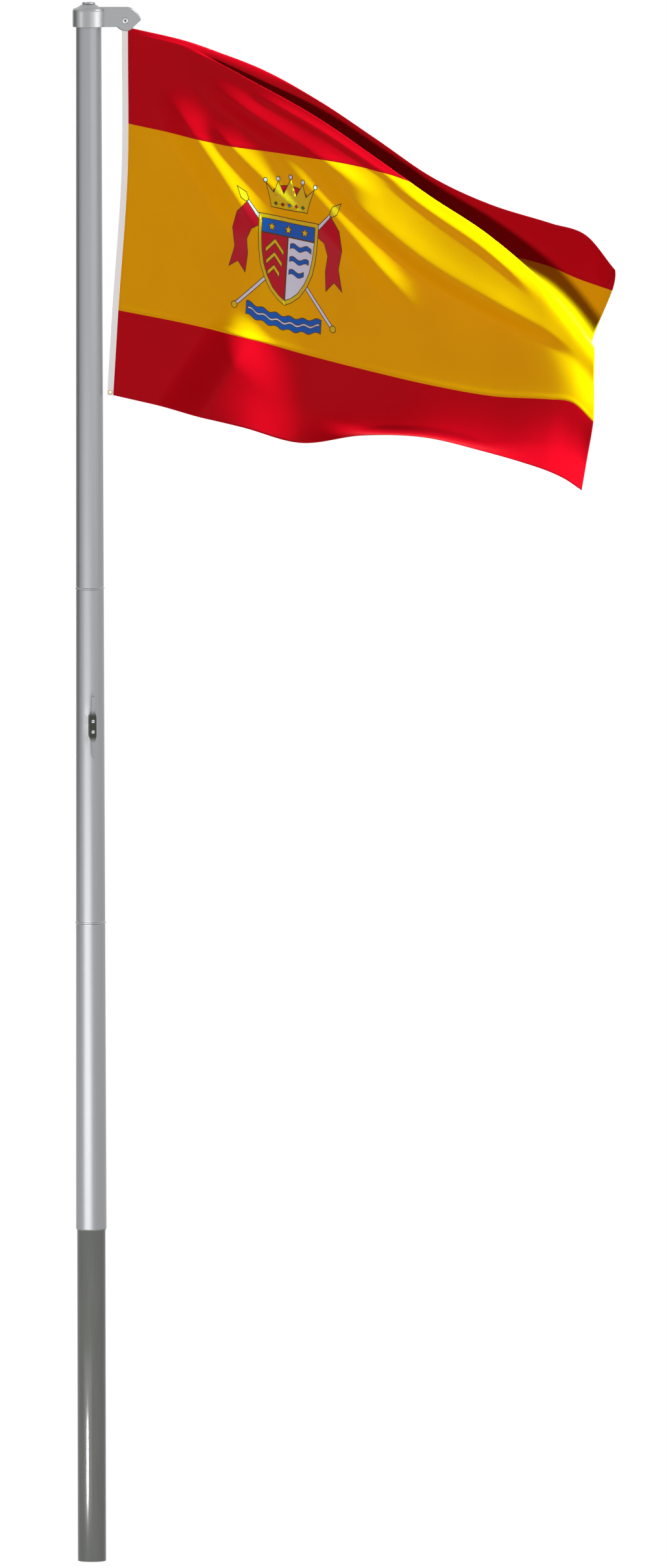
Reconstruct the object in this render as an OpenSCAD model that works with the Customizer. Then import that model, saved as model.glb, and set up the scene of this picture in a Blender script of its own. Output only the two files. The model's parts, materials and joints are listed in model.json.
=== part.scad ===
// Sectional garden flagpole: ground sleeve, three tapered tubes, swivelling head and a striped flag.
// Millimetres, +Z up, origin at the centre of the sleeve's foot, +X along the head's arm.

/* [Ground sleeve] */
// Outside diameter of the ground sleeve
sleeve_d = 70; // [62:1:71]
// Height of the sleeve from its foot to the pole's seat
sleeve_h = 820; // [600:10:950]
// Wall of the sleeve
sleeve_wall = 4; // [3.5:0.5:6]

/* [Pole] */
// Outside diameter of the pole at its foot
pole_foot_d = 75; // [74:1:80]
// Outside diameter of the pole at its rim, inside the head
pole_rim_d = 62; // [54:1:63]
// Wall of the pole's tubes
tube_wall = 2; // [1.5:0.25:2.5]
// Height of the joint between the lower and middle tubes
lower_joint_h = 1578; // [1300:10:1700]
// Height of the joint between the middle and upper tubes
upper_joint_h = 2402; // [2250:10:2550]
// Height of the pole's rim
rim_h = 3808; // [3800:1:4200]
// Length of the spigot that slides into the tube below
spigot_l = 90; // [60:5:130]

/* [Joint rings] */
// Height of a joint ring
ring_h = 9; // [7:0.5:14]
// How far a joint ring's bead stands out from the tube
ring_bead = 1.8; // [1:0.1:3]

/* [Cleat] */
// Height of the cleat's middle
cleat_h = 2066; // [1900:1:2120]
// Length over the cleat's horns
cleat_l = 150; // [130:5:180]
// Width of the cleat's base
cleat_w = 17; // [15:0.5:20]
// Reach of the cleat out from the tube
cleat_out = 30; // [28:1:36]
// Angle of the cleat round the pole, from the front towards the arm
cleat_turn = 7; // [0:1:30]

/* [Swivel head] */
// Outside diameter of the head's collar
collar_d = 79; // [78:1:90]
// Height of the collar up to its shoulder
collar_h = 46; // [44:1:56]
// Distance of the arm's screw from the pole's axis
arm_reach = 90; // [86:1:110]
// Thickness of the arm
arm_t = 22; // [20:1:28]

/* [Flag] */
// Length of the flag along the fly
flag_fly = 1350; // [1200:10:1400]
// Height of the flag along the hoist
flag_hoist = 900; // [800:10:920]
// Thickness of the cloth
cloth_t = 2.4; // [2:0.2:3]
// Width of the white header
header_w = 14.5; // [14:0.5:18]

/* [Hidden] */
$fn = 64;

// Clearances
slip_gap = 0.3;
seat_gap = 0.05;
pivot_gap = 0.05;
thrust_gap = 0.3;
sweep_gap = 5.1;
sew_gap = 0.3;
cut_over = 1;

// Sleeve and bush
sleeve_r = sleeve_d / 2;
sleeve_foot = 5;
sleeve_step = 2;
sleeve_spigot_r = sleeve_r - sleeve_step;
sleeve_spigot_l = 140;
bush_h = 2.5;
bush_r = sleeve_r + (pole_foot_d - sleeve_d) / 4;
bush_l = 120;

// Pole: one straight taper from the foot to the rim
foot_h = sleeve_h + bush_h;
function pole_r(z) = (pole_foot_d + (pole_rim_d - pole_foot_d) * (z - foot_h) / (rim_h - foot_h)) / 2;
neck_blend = 8;
neck_inner = 2;

// Ring bead
ring_lip_h = 1.6;
ring_lip_in = 0.4;
ring_flat_h = ring_h - 2 * ring_lip_h - 2 * ring_bead;

// Cleat
cleat_base_share = 0.35;
cleat_neck_share = 0.24;
cleat_base_l = cleat_l * cleat_base_share;
cleat_neck_l = cleat_l * cleat_neck_share;
cleat_bar = 10;
cleat_tip = 6;
cleat_round = 3;
cleat_crown_share = 0.6;
cleat_steps = 8;
// Front outline of a horn, as [up from the middle, width] in shares of half the length and half the width
cleat_front_shares = [
    [0.29, 1], [0.36, 0.94], [0.42, 0.74], [0.5, 0.58], [0.7, 0.51], [0.94, 0.44], [1, 0.26]
];
cleat_screw_pitch = 25.8;
cleat_tube_r = pole_r(cleat_h);
cleat_face = cleat_tube_r + cleat_out;
cleat_screw_r = 2.2;
cleat_screw_head_r = 4.4;
cleat_screw_head_h = 2.6;
cleat_screw_inside = 8;
cleat_slot_w = 1.2;
cleat_slot_deep = 1.1;
// Profile of a pan head, as [radius, height] in shares of the head's own
pan_head_shares = [[0, 0], [1, 0], [1, 0.4], [0.9, 0.75], [0.64, 1], [0, 1]];

// Plug, pivot and button
plug_flange_h = 6;
plug_l = 40;
pivot_r = 8;
stud_r = 4;
stud_l = 18;
button_r = 15.8;
button_neck_r = 14.4;
button_h = 4.6;
// Profile of the button over its neck, as [radius, height] in shares of the button's own
button_shares = [[1, 0.3], [1, 0.8], [0.94, 1], [0.74, 1], [0.7, 0.84], [0, 0.84]];

// Head
rim_in_collar = 27;
head_z = rim_h - rim_in_collar;
collar_r = collar_d / 2;
collar_bore_r = pole_r(head_z) + sweep_gap;
collar_round = 7;
collar_edge = 1;
dome_rise = 9.6;
dome_h = collar_h + dome_rise;
dome_foot_r = collar_r - collar_round;
dome_over_button = 0.7;
dome_neck_r = button_r + dome_over_button;
dome_hollow_share = 0.35;
dome_steps = 6;
roof_z = rim_in_collar + plug_flange_h + thrust_gap;
pivot_top = dome_h + thrust_gap;

// Arm, measured from the foot of the collar
arm_over_collar = 2.6;
arm_top = collar_h + arm_over_collar;
arm_root = 20;
arm_edge = 2.2;
boss_z = 15.7;
boss_r = 25.7;
nose_out = 38.4;
nose_z = 17;
nose_under_out = 21.5;
nose_under_z = 1.5;
nose_root_in = 12;
nose_steps = 8;
nose_start_out = 5;
nose_round_out = 20;
nose_round_down = 0.6;
nose_slope_out = 33;
nose_slope_down = 15.6;
slot_w = 10;
slot_half_l = 20;
slot_roof = 14;
arm_screw_r = 4;
arm_screw_head_r = 7;
arm_screw_head_h = 3.6;
arm_screw_slot_l = 7;
arm_screw_slot_w = 1.8;
arm_screw_slot_deep = 1.6;
screw_seat_round = 2.2;
screw_seat_deep = 1.2;
nut_across = 13;
nut_h = 6.5;
screw_past_nut = 3;

// Header and grommets
header_t = 4;
header_tab_r = 9;
header_tab_neck = 6;
grommet_wall = 1;
grommet_lip_h = 0.8;
top_grommet_bore = arm_screw_r + seat_gap;
top_grommet_lip_r = 7.5;
bottom_grommet_bore = 3.5;
bottom_grommet_lip_r = 5.7;
bottom_grommet_up = 8;

// Flag: four rows of places, as [along the fly, depth, drop] in shares of fly, fly and hoist,
// at even steps from the header to the fly; minus depth is towards the front
flag_past_screw = 6;
flag_under_collar = 1;
flag_corner = [arm_reach + flag_past_screw, 0, head_z - flag_under_collar];
bottom_row_shares = [
    [-0.028, 0, 1.004], [0.094, -0.01, 1.045], [0.206, -0.045, 1.085], [0.313, -0.015, 1.135],
    [0.424, -0.063, 1.105], [0.536, -0.085, 1.107], [0.645, -0.09, 1.145], [0.749, -0.07, 1.195],
    [0.823, -0.01, 1.263]
];
quarter_row_shares = [
    [-0.018, 0, 0.763], [0.104, -0.005, 0.8], [0.216, -0.025, 0.837], [0.322, 0.005, 0.886],
    [0.435, -0.008, 0.927], [0.548, -0.018, 0.966], [0.66, -0.018, 0.996], [0.767, -0.008, 1.009],
    [0.845, 0.06, 1.075]
];
crest_row_shares = [
    [0, 0, 0.02], [0.121, 0, 0.064], [0.237, -0.008, 0.155], [0.346, -0.022, 0.245],
    [0.447, -0.022, 0.348], [0.548, -0.015, 0.462], [0.651, -0.015, 0.565], [0.753, 0, 0.693],
    [0.847, 0.06, 0.889]
];
top_row_shares = [
    [0, 0, 0], [0.121, 0, 0.044], [0.239, 0.008, 0.111], [0.346, 0.018, 0.202],
    [0.449, 0.03, 0.307], [0.552, 0.033, 0.412], [0.657, 0.045, 0.487], [0.773, 0.062, 0.546],
    [0.884, 0.085, 0.675]
];
hoist_bow_shares = [0.008, 0, 0];
// The rear fold: it starts near the header, opens towards the fly and hangs as a pocket behind the crest
fold_start_share = 0.15;
fold_blend_share = 0.05;
fold_least_share = 0.02;
fold_at_fly_share = 0.5;
fold_back_shares = [0, 0.09, 0];
fold_bulge_shares = [0, 0.04, 0];
pocket_start_share = 0.25;
pocket_drop_shares = [0, 0, 0.115];
valley_share = 0.33;
rear_share = 0.68;
// The stripes' edges up the hoist, and the cloth's divisions
low_seam_share = 0.25;
high_seam_share = 0.75;
fly_steps = 32;
bottom_steps = 4;
middle_steps = 10;
top_steps = 8;
slope_step_share = 0.01;
function even_steps(v0, v1, count, first = 0) = [for (j = [first : count]) v0 + (v1 - v0) * j / count];
hoist_stations = concat(
    even_steps(0, low_seam_share, bottom_steps),
    even_steps(low_seam_share, high_seam_share, middle_steps, 1),
    even_steps(high_seam_share, 1, top_steps, 1)
);

// A smooth curve through places p at stations k
function slope(k, p, j) =
    let (a = max(j - 1, 0), b = min(j + 1, len(k) - 1)) (p[b] - p[a]) / (k[b] - k[a]);
function span_of(k, t, i = 0) = i >= len(k) - 2 || t < k[i + 1] ? i : span_of(k, t, i + 1);
function curve(k, p, t) =
    let (
        i = span_of(k, t),
        h = k[i + 1] - k[i],
        s = (t - k[i]) / h,
        rise = 3 * s ^ 2 - 2 * s ^ 3
    )
    (1 - rise) * p[i] + rise * p[i + 1]
    + (s ^ 3 - 2 * s ^ 2 + s) * h * slope(k, p, i) + (s ^ 3 - s ^ 2) * h * slope(k, p, i + 1);

// A bend from p[0] to p[3], pulled by the two handles between them
function bend(p, steps) =
    [for (i = [0 : steps])
        let (t = i / steps, s = 1 - t)
        s ^ 3 * p[0] + 3 * s ^ 2 * t * p[1] + 3 * s * t ^ 2 * p[2] + t ^ 3 * p[3]];

// The flag's cloth, u along the fly and v up the hoist
columns = [for (k = [0 : len(top_row_shares) - 1]) k / (len(top_row_shares) - 1)];
function opened(u) =
    let (past = (u - fold_start_share) / (1 - fold_start_share))
    (past + sqrt(past ^ 2 + fold_blend_share ^ 2)) / 2;
function fold_share(u) = fold_least_share + (fold_at_fly_share - fold_least_share) * opened(u);
function pocket(u) =
    let (past = (u - pocket_start_share) / (1 - pocket_start_share))
    past > 0 ? sin(180 * past) ^ 2 : 0;
function cloth_rows(u) =
    let (
        bottom = curve(columns, bottom_row_shares, u),
        quarter = curve(columns, quarter_row_shares, u),
        crest = curve(columns, crest_row_shares, u),
        top = curve(columns, top_row_shares, u),
        middle = (quarter + crest) / 2 + hoist_bow_shares * (1 - u) ^ 4,
        hang = crest + fold_back_shares * opened(u) + pocket_drop_shares * pocket(u),
        valley = hang + (top - crest) * valley_share * (1 - opened(u)),
        rear = (valley + top) / 2 + fold_bulge_shares * opened(u)
    )
    [bottom, quarter, middle, crest, valley, rear, top];
function cloth_stations(u) =
    let (f = fold_share(u), c = 1 - f)
    [0, low_seam_share, (low_seam_share + c) / 2, c, c + f * valley_share, c + f * rear_share, 1];
function cloth(u, v) =
    let (p = curve(cloth_stations(u), cloth_rows(u), v))
    flag_corner + [p[0] * flag_fly, p[1] * flag_fly, -p[2] * flag_hoist];
function cloth_normal(u, v) =
    let (
        along = cloth(min(u + slope_step_share, 1), v) - cloth(max(u - slope_step_share, 0), v),
        up = cloth(u, min(v + slope_step_share, 1)) - cloth(u, max(v - slope_step_share, 0)),
        n = cross(along, up)
    )
    n / norm(n);

// A sheet of cloth between two heights up the hoist
module cloth_sheet(v0, v1, v_steps) {
    uv = [for (u = even_steps(0, 1, fly_steps), v = even_steps(v0, v1, v_steps)) [u, v]];
    middle = [for (p = uv) cloth(p[0], p[1])];
    half = [for (p = uv) cloth_normal(p[0], p[1]) * cloth_t / 2];
    count = len(uv);
    row = v_steps + 1;
    front = [for (i = [0 : fly_steps - 1], j = [0 : v_steps - 1])
        let (a = i * row + j) each [[a, a + 1, a + row + 1], [a, a + row + 1, a + row]]];
    back = [for (f = front) [f[2] + count, f[1] + count, f[0] + count]];
    rim = concat(
        [for (i = [0 : fly_steps - 1]) [(i + 1) * row, i * row]],
        [for (j = [0 : v_steps - 1]) [j, j + 1]],
        [for (i = [0 : fly_steps - 1]) [i * row + v_steps, (i + 1) * row + v_steps]],
        [for (j = [0 : v_steps - 1]) [fly_steps * row + j + 1, fly_steps * row + j]]
    );
    edge = [for (e = rim) let (low = min(e), far = max(e))
        each low == e[0]
            ? [[e[1], e[0], low + count], [e[1], low + count, far + count]]
            : [[e[0], low + count, e[1]], [e[0], far + count, low + count]]];
    polyhedron(concat(middle + half, middle - half), concat(front, back, edge));
}

// A tapered tube from z0 to z1, with a spigot under it that fits the tube below;
// the cleat may stand on any tube, so each is drilled where its screws pass
module tapered_tube(z0, z1, spigot_r = 0) {
    r0 = pole_r(z0);
    r1 = pole_r(z1);
    spigot_z = z0 - ring_h - spigot_l;
    plain = [[r0, z0], [r1, z1], [r1 - tube_wall, z1]];
    with_spigot = concat(
        [[spigot_r, spigot_z], [spigot_r, z0]],
        plain,
        [
            [r0 - tube_wall, z0 + neck_blend],
            [spigot_r - tube_wall, z0 - neck_inner],
            [spigot_r - tube_wall, spigot_z]
        ]
    );
    color("silver")
        difference() {
            rotate_extrude()
                polygon(spigot_r == 0 ? concat(plain, [[r0 - tube_wall, z0]]) : with_spigot);
            cleat_bores(cleat_screw_r + seat_gap);
        }
}

// A bead ring round the spigot at joint height z
module joint_ring(z) {
    outer = pole_r(z);
    inner = spigot_radius(z) + seat_gap;
    half = ring_h / 2;
    profile = [
        [outer - ring_lip_in, half], [outer - ring_lip_in, half - ring_lip_h],
        [outer + ring_bead, ring_flat_h / 2]
    ];
    translate([0, 0, z])
        rotate_extrude()
            polygon(concat(
                [[inner, -half]],
                [for (i = [0 : len(profile) - 1]) [profile[i][0], -profile[i][1]]],
                [for (i = [len(profile) - 1 : -1 : 0]) profile[i]],
                [[inner, half]]
            ));
}
function spigot_radius(z) = pole_r(z - ring_h / 2) - tube_wall - slip_gap;

// The cleat stands on the front of the pole, turned a little towards the arm
module on_cleat() {
    translate([0, 0, cleat_h])
        rotate([0, 0, cleat_turn])
            children();
}

// The bores that the cleat's screws run through, out along -Y
module cleat_bores(r) {
    for (side = [-1, 1])
        on_cleat()
            translate([0, 0, side * cleat_screw_pitch / 2])
                rotate([90, 0, 0])
                    cylinder(r = r, h = cleat_face + cut_over);
}

// A driver's slot cut down into a screw head whose top is at height z
module slot_cut(l, w, deep, z) {
    translate([-l / 2, -w / 2, z - deep])
        cube([l, w, deep + cut_over]);
}

// A screw's domed head, standing on z = 0
module pan_head(r, h) {
    rotate_extrude()
        polygon([for (p = pan_head_shares) [p[0] * r, p[1] * h]]);
}

// One screw of the cleat, its head on the cleat's face
module cleat_screw(side) {
    color("gainsboro")
        on_cleat()
            translate([0, -cleat_face, side * cleat_screw_pitch / 2])
                rotate([90, 0, 0])
                    difference() {
                        union() {
                            translate([0, 0, -cleat_out - tube_wall - cleat_screw_inside])
                                cylinder(r = cleat_screw_r, h = cleat_out + tube_wall + cleat_screw_inside);
                            pan_head(cleat_screw_head_r, cleat_screw_head_h);
                        }
                        slot_cut(2 * cleat_screw_head_r, cleat_slot_w, cleat_slot_deep, cleat_screw_head_h);
                    }
}

module ground_sleeve() {
    inner = sleeve_spigot_r - sleeve_wall + sleeve_step;
    top = sleeve_h + sleeve_spigot_l;
    color("dimgray")
        rotate_extrude()
            polygon([
                [0, 0], [sleeve_r, 0], [sleeve_r, sleeve_h],
                [sleeve_spigot_r, sleeve_h], [sleeve_spigot_r, top],
                [inner, top], [inner, sleeve_foot], [0, sleeve_foot]
            ]);
}

module sleeve_bush() {
    inner = sleeve_spigot_r + seat_gap;
    barrel_r = pole_r(foot_h + bush_l) - tube_wall - slip_gap;
    color("whitesmoke")
        rotate_extrude()
            polygon([
                [inner, sleeve_h], [bush_r, sleeve_h], [bush_r, foot_h], [barrel_r, foot_h],
                [barrel_r, foot_h + bush_l], [inner, foot_h + bush_l]
            ]);
}

module lower_section() {
    tapered_tube(foot_h, lower_joint_h - ring_h / 2);
}

module lower_joint_ring() {
    color("darkgray")
        joint_ring(lower_joint_h);
}

module middle_section() {
    tapered_tube(lower_joint_h + ring_h / 2, upper_joint_h - ring_h / 2, spigot_radius(lower_joint_h));
}

module upper_joint_ring() {
    color("darkgray")
        joint_ring(upper_joint_h);
}

module upper_section() {
    tapered_tube(upper_joint_h + ring_h / 2, rim_h, spigot_radius(upper_joint_h));
}

// Side view of the cleat: foot on the tube, a waist, and two horns that bend away from it to their tips
module cleat_side() {
    bar_in = cleat_face - cleat_bar;
    under = [
        [cleat_tube_r + cleat_tip, cleat_base_l / 2], [bar_in - cleat_tip, cleat_neck_l / 2 + cleat_tip],
        [bar_in, cleat_base_l / 2 + cleat_tip], [cleat_face - cleat_tip, cleat_l / 2]
    ];
    over = [
        [cleat_face + cleat_tip / 2, cleat_l / 2], [cleat_face, cleat_l / 3],
        [cleat_face, cleat_l / 4], [cleat_face, cleat_neck_l / 2]
    ];
    half = concat(
        [[cleat_tube_r - cleat_bar, cleat_base_l / 2]],
        bend(under, cleat_steps),
        bend(over, cleat_steps)
    );
    offset(r = cleat_round, $fn = 24)
        offset(delta = -cleat_round)
            polygon(concat(half, [for (i = [len(half) - 1 : -1 : 0]) [half[i][0], -half[i][1]]]));
}

// Front view of the cleat: wide at the base, with slender horns
module cleat_front() {
    up = [for (p = cleat_front_shares) [p[1] * cleat_w / 2, p[0] * cleat_l / 2]];
    last = len(up) - 1;
    polygon(concat(
        up,
        [for (i = [last : -1 : 0]) [-up[i][0], up[i][1]]],
        [for (i = [0 : last]) [-up[i][0], -up[i][1]]],
        [for (i = [last : -1 : 0]) [up[i][0], -up[i][1]]]
    ));
}

// Top view of the cleat: a block with a crowned front
module cleat_plan() {
    crown_r = cleat_w * cleat_crown_share;
    crown_y = cleat_face + cleat_tip / 2 - crown_r;
    translate([0, -crown_y])
        circle(r = crown_r);
    translate([-cleat_w / 2, -crown_y])
        square([cleat_w, crown_y]);
}

module cleat() {
    reach = cleat_face + cleat_tip;
    color("slategray")
        difference() {
            on_cleat()
                intersection() {
                    rotate([0, 0, -90])
                        rotate([90, 0, 0])
                            translate([0, 0, -cleat_w])
                                linear_extrude(2 * cleat_w)
                                    cleat_side();
                    rotate([90, 0, 0])
                        linear_extrude(reach)
                            cleat_front();
                    translate([0, 0, -cleat_l])
                        linear_extrude(2 * cleat_l)
                            cleat_plan();
                }
            translate([0, 0, cleat_h - cleat_l])
                cylinder(
                    r1 = pole_r(cleat_h - cleat_l) + seat_gap,
                    r2 = pole_r(cleat_h + cleat_l) + seat_gap,
                    h = 2 * cleat_l
                );
            cleat_bores(cleat_screw_r + seat_gap);
        }
}

module upper_cleat_screw() {
    cleat_screw(1);
}

module lower_cleat_screw() {
    cleat_screw(-1);
}

module top_plug() {
    plug_r = pole_rim_d / 2 - tube_wall - slip_gap;
    color("darkgray")
        translate([0, 0, rim_h])
            difference() {
                union() {
                    translate([0, 0, -plug_l])
                        cylinder(r = plug_r, h = plug_l);
                    cylinder(r = pole_rim_d / 2, h = plug_flange_h);
                    cylinder(r = pivot_r, h = pivot_top - rim_in_collar);
                }
                translate([0, 0, pivot_top - rim_in_collar - stud_l])
                    cylinder(r = stud_r + seat_gap, h = stud_l + cut_over);
            }
}

// A convex outline as a plate of the arm's thickness, its edges chamfered on both sides
module arm_plate() {
    rotate([90, 0, 0])
        hull() {
            translate([0, 0, -arm_t / 2 + arm_edge])
                linear_extrude(arm_t - 2 * arm_edge)
                    children();
            translate([0, 0, -arm_t / 2])
                linear_extrude(arm_t)
                    offset(delta = -arm_edge)
                        children();
        }
}

// The arm: a straight bar, a round boss under the screw and a nose that rounds down to a point
module arm() {
    nose_top = [
        [arm_reach + nose_start_out, arm_top], [arm_reach + nose_round_out, arm_top - nose_round_down],
        [arm_reach + nose_slope_out, arm_top - nose_slope_down], [arm_reach + nose_out, nose_z]
    ];
    arm_plate()
        translate([arm_root, 0])
            square([arm_reach + nose_start_out - arm_root, arm_top]);
    translate([arm_reach, 0, boss_z])
        rotate([90, 0, 0])
            rotate_extrude()
                polygon([
                    [0, -arm_t / 2], [boss_r - arm_edge, -arm_t / 2], [boss_r, arm_edge - arm_t / 2],
                    [boss_r, arm_t / 2 - arm_edge], [boss_r - arm_edge, arm_t / 2], [0, arm_t / 2]
                ]);
    arm_plate()
        polygon(concat(
            [[arm_reach - nose_root_in, nose_under_z], [arm_reach - nose_root_in, arm_top]],
            bend(nose_top, nose_steps),
            [[arm_reach + nose_under_out, nose_under_z]]
        ));
}

module swivel_head() {
    dome = [for (i = [1 : dome_steps])
        let (t = i / dome_steps, rise = t + (t ^ 2 - t) * dome_hollow_share)
        [dome_foot_r + (dome_neck_r - dome_foot_r) * t, collar_h + dome_rise * rise]];
    shoulder = [for (a = [0 : 22.5 : 90])
        [collar_r - collar_round * (1 - cos(a)), collar_h - collar_round * (1 - sin(a))]];
    color("silver")
        translate([0, 0, head_z])
            difference() {
                union() {
                    rotate_extrude()
                        polygon(concat(
                            [[0, 0], [collar_r - collar_edge, 0], [collar_r, collar_edge]],
                            shoulder,
                            dome,
                            [[0, dome_h]]
                        ));
                    arm();
                }
                translate([0, 0, -cut_over])
                    cylinder(r = collar_bore_r, h = roof_z + cut_over);
                cylinder(r = pivot_r + pivot_gap, h = dome_h + cut_over);
                translate([arm_reach - slot_half_l, -slot_w / 2, boss_z - boss_r - cut_over])
                    cube([2 * slot_half_l, slot_w, boss_r + slot_roof + cut_over]);
                translate([arm_reach, arm_t, boss_z])
                    rotate([90, 0, 0])
                        cylinder(r = arm_screw_r + seat_gap, h = 2 * arm_t);
                translate([arm_reach, screw_seat_deep - arm_t / 2, boss_z])
                    rotate([90, 0, 0])
                        cylinder(r = arm_screw_head_r + screw_seat_round, h = screw_seat_deep + cut_over);
            }
}

module head_button() {
    z = head_z + pivot_top;
    color("silver")
        translate([0, 0, z]) {
            translate([0, 0, -stud_l + slip_gap])
                cylinder(r = stud_r, h = stud_l - slip_gap);
            rotate_extrude()
                polygon(concat(
                    [[0, 0], [button_neck_r, 0]],
                    [for (p = button_shares) [p[0] * button_r, p[1] * button_h]]
                ));
        }
}

module arm_screw() {
    l = arm_t - screw_seat_deep + nut_h + screw_past_nut;
    color("gainsboro")
        translate([arm_reach, screw_seat_deep - arm_t / 2, head_z + boss_z])
            rotate([90, 0, 0])
                difference() {
                    union() {
                        pan_head(arm_screw_head_r, arm_screw_head_h);
                        translate([0, 0, -l])
                            cylinder(r = arm_screw_r, h = l);
                    }
                    for (turn = [0, 90])
                        rotate([0, 0, turn])
                            slot_cut(arm_screw_slot_l, arm_screw_slot_w, arm_screw_slot_deep, arm_screw_head_h);
                }
}

module arm_nut() {
    color("gainsboro")
        translate([arm_reach, arm_t / 2, head_z + boss_z])
            rotate([-90, 0, 0])
                difference() {
                    cylinder(d = nut_across / cos(30), h = nut_h, $fn = 6);
                    translate([0, 0, -cut_over])
                        cylinder(r = arm_screw_r + seat_gap, h = nut_h + 2 * cut_over);
                }
}

// The header's centre line at height v, where its lower grommet sits
function bottom_grommet_at() =
    let (p = cloth(0, bottom_grommet_up / flag_hoist)) [p[0] - sew_gap - header_w / 2, p[2]];

module flag_header() {
    edge = [for (v = hoist_stations) let (p = cloth(0, v)) [p[0] - sew_gap, p[2]]];
    left = [for (i = [len(edge) - 1 : -1 : 0]) edge[i] - [header_w, 0]];
    screw = [arm_reach, head_z + boss_z];
    color("whitesmoke")
        rotate([90, 0, 0])
            translate([0, 0, -header_t / 2])
                linear_extrude(header_t)
                    difference() {
                        union() {
                            polygon(concat(edge, left));
                            translate([screw[0] - header_tab_neck, flag_corner[2] - cut_over])
                                square([2 * header_tab_neck, screw[1] - flag_corner[2] + cut_over]);
                            translate(screw)
                                circle(r = header_tab_r);
                        }
                        translate(screw)
                            circle(r = top_grommet_bore + grommet_wall + seat_gap);
                        translate(bottom_grommet_at())
                            circle(r = bottom_grommet_bore + grommet_wall + seat_gap);
                    }
}

// A grommet through the header, with a lip on each side
module grommet(bore_r, lip_r) {
    outer = bore_r + grommet_wall;
    half = header_t / 2;
    edge = half + grommet_lip_h;
    rotate([90, 0, 0])
        rotate_extrude()
            polygon([
                [bore_r, -edge], [lip_r, -edge], [lip_r, -half], [outer, -half],
                [outer, half], [lip_r, half], [lip_r, edge], [bore_r, edge]
            ]);
}

module top_grommet() {
    color("darkkhaki")
        translate([arm_reach, 0, head_z + boss_z])
            grommet(top_grommet_bore, top_grommet_lip_r);
}

module bottom_grommet() {
    at = bottom_grommet_at();
    color("darkkhaki")
        translate([at[0], 0, at[1]])
            grommet(bottom_grommet_bore, bottom_grommet_lip_r);
}

module flag_top_stripe() {
    color("crimson")
        cloth_sheet(high_seam_share, 1, top_steps);
}

module flag_middle_stripe() {
    color("gold")
        cloth_sheet(low_seam_share, high_seam_share, middle_steps);
}

module flag_bottom_stripe() {
    color("crimson")
        cloth_sheet(0, low_seam_share, bottom_steps);
}

ground_sleeve();
sleeve_bush();
lower_section();
lower_joint_ring();
middle_section();
upper_joint_ring();
upper_section();
cleat();
upper_cleat_screw();
lower_cleat_screw();
top_plug();
swivel_head();
head_button();
arm_screw();
arm_nut();
flag_header();
top_grommet();
bottom_grommet();
flag_top_stripe();
flag_middle_stripe();
flag_bottom_stripe();
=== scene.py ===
# %% [markdown]
# # A sectional flagpole with a flag in the wind
# The pole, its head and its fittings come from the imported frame, in metres and already in place.
# This lesson dresses them: it gives each metal its finish, sews and folds the flag, and sets up a
# plain white studio with the camera where the photographer stood.

# %% Load the frame
import json
import math

import bmesh
import bpy
import numpy as np
from mathutils import Matrix, Vector

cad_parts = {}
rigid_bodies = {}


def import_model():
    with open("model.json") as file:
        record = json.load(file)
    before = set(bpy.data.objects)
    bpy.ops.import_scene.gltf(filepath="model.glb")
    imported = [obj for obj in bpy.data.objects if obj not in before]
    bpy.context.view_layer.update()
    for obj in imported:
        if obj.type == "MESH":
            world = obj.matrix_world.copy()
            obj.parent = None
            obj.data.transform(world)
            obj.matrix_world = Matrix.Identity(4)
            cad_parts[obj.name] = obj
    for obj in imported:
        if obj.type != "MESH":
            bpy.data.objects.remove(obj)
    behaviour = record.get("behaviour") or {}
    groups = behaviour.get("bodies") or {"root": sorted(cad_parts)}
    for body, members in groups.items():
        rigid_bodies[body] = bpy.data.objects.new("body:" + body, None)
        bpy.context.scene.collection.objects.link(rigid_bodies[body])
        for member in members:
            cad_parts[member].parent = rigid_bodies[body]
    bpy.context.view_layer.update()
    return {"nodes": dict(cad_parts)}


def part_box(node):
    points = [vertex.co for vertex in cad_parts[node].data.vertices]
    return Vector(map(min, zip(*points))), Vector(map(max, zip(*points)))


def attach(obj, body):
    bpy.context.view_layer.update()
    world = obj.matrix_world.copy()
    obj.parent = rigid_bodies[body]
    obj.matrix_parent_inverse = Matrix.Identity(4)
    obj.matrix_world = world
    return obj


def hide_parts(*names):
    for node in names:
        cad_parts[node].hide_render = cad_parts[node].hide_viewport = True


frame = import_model()
MM = 0.001
scene = bpy.context.scene
scene.view_settings.view_transform = "Standard"

# %% [markdown]
# ## Small helpers for finishes
# A finish is a Principled shader with a few pattern nodes in front of it. An image could be wrapped round
# a piece instead, but nodes keep every number of a finish in view and need no seam. The helpers turn an
# sRGB hex colour to the linear colour that a shader wants, add a node with its settings and links, start
# a material, and let a pattern tint and dent it.

# %% Helpers for materials
def linear(hex_colour):
    channels = [int(hex_colour[i:i + 2], 16) / 255 for i in (1, 3, 5)]
    return [c / 12.92 if c <= 0.04045 else ((c + 0.055) / 1.055) ** 2.4 for c in channels] + [1.0]


def node(owner, kind, links=None, **settings):
    """Add a node; links gives each socket a value, an output, or a node that stands for its first output"""
    made = owner.node_tree.nodes.new(kind)
    for name, value in settings.items():
        setattr(made, name, value)
    for socket, value in (links or {}).items():
        if isinstance(value, bpy.types.Node):
            value = value.outputs[0]
        if isinstance(value, bpy.types.NodeSocket):
            owner.node_tree.links.new(value, made.inputs[socket])
        else:
            made.inputs[socket].default_value = value
    return made


def join(owner, output, target, socket):
    owner.node_tree.links.new(output, target.inputs[socket])


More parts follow.
